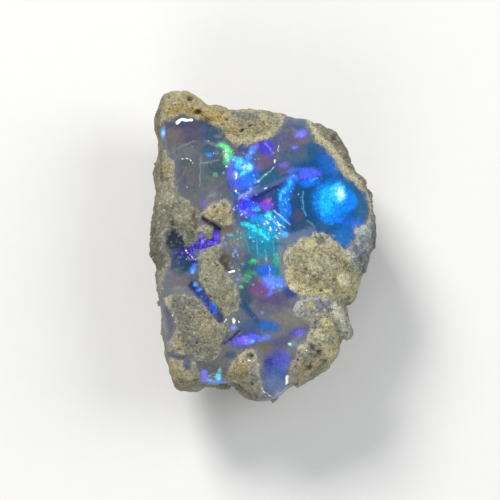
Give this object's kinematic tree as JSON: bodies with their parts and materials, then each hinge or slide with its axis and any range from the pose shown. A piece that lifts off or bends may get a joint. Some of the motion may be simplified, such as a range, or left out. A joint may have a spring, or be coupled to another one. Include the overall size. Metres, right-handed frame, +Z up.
{
  "type": "rough opal in host rock",
  "caption": "Small rough stone: a glassy blue-grey opal window in sandy host rock, with raised rock plates, clefts and a flat broken face to lie on.",
  "frame": {"origin": "middle of the bounding box, on the plane that the stone rests on", "axes": "+Z up out of the opal window, +Y along the stone's length towards its rim of host rock, +X across"},
  "size_m": [0.0202, 0.0284, 0.0114],
  "materials": {
    "opal_in_rock": "translucent blue-grey opal with a glassy broken skin and blue, violet, cyan and green flashes, in matt sandy beige host rock"
  },
  "bodies": {
    "root": {"rough_opal": "opal_in_rock"}
  },
  "joints": []
}
